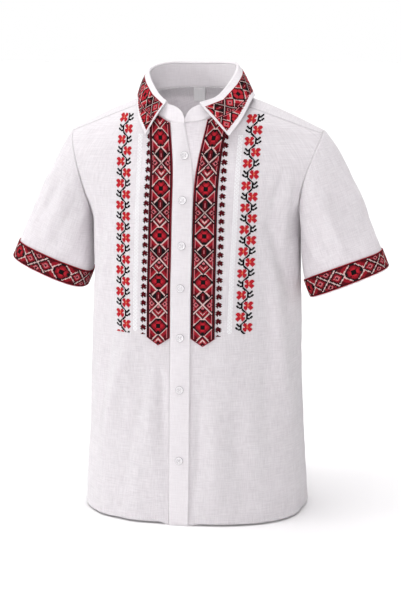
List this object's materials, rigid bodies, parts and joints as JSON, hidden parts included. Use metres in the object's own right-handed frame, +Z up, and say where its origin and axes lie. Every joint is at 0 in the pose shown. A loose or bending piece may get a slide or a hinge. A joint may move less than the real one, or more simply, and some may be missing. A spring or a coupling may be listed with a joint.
{
  "type": "folk shirt",
  "caption": "Short-sleeved linen folk shirt with a turn-down collar, button front and embroidered bands on the front, collar and sleeve hems, worn open at the neck, filled out and hollow.",
  "frame": {"origin": "on the surface the shirt stands on, under the middle of its bounding box", "axes": "+Z up from hem to collar, the buttoned front faces -Y, +X towards the wearer's left sleeve"},
  "size_m": [0.648, 0.2828, 0.7554],
  "materials": {
    "linen": "plain-woven white linen, matt",
    "embroidered_linen": "cream linen ground under cross stitch",
    "label_tape": "blank white woven tape",
    "button": "pearly white, polished",
    "red_thread": "stranded cotton, soft sheen",
    "maroon_thread": "stranded cotton, soft sheen",
    "black_thread": "stranded cotton, soft sheen",
    "orange_thread": "stranded cotton, soft sheen",
    "white_thread": "sewing thread, matt"
  },
  "bodies": {
    "root": {"front_left": "linen", "front_right": "linen", "back": "linen", "yoke": "linen", "sleeve_left": "linen", "sleeve_right": "linen", "sleeve_band_left": "embroidered_linen", "sleeve_band_right": "embroidered_linen", "front_band_left": "embroidered_linen", "front_band_right": "embroidered_linen", "button_band": "linen", "collar_stand": "linen", "collar_leaf": "embroidered_linen", "neck_label": "label_tape", "button_1": "button", "button_2": "button", "button_3": "button", "button_4": "button", "button_5": "button", "button_6": "button", "button_7": "button"}
  },
  "joints": []
}
